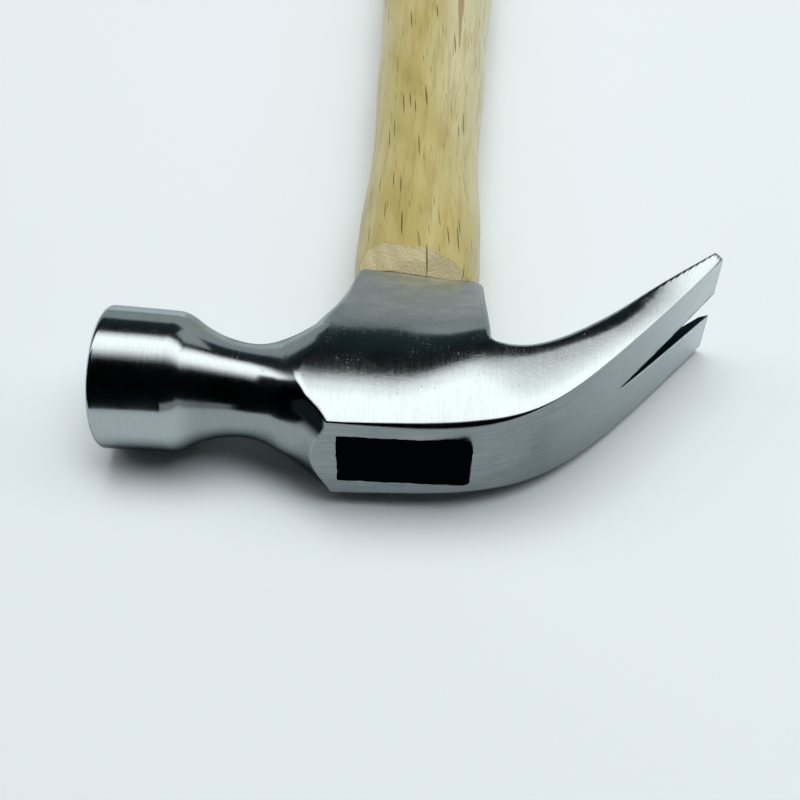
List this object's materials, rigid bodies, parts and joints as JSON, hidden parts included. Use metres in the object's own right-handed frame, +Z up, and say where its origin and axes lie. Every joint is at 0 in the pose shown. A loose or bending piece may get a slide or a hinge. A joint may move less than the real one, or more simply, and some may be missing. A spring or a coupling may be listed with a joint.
{
  "type": "claw hammer",
  "caption": "Small curved-claw hammer: polished forged steel head with a round belled poll, nail slot and wedged oval wooden handle.",
  "frame": {"origin": "bottom centre of the whole hammer's box as it lies on its side, on the surface it lies on", "axes": "+X toward the claw, -X toward the striking face, +Y along the handle from the crown to the butt, +Z up as the hammer lies; the head is symmetric about z = 12 mm"},
  "size_m": [0.1032, 0.28, 0.024],
  "materials": {
    "polished_steel": "bright polished poll, neck and cheeks; satin ground crown and tines",
    "lacquered_oak": "pale oak with dark pores under a thin clear lacquer",
    "wedge_wood": "bare hardwood",
    "wedge_steel": "dull mild steel",
    "black_fill": "smooth black resin, nearly matt"
  },
  "bodies": {
    "root": {"hammer_head": "polished_steel", "handle": "lacquered_oak", "wood_wedge": "wedge_wood", "steel_wedge_front": "wedge_steel", "steel_wedge_rear": "wedge_steel", "eye_seal": "black_fill"}
  },
  "joints": []
}
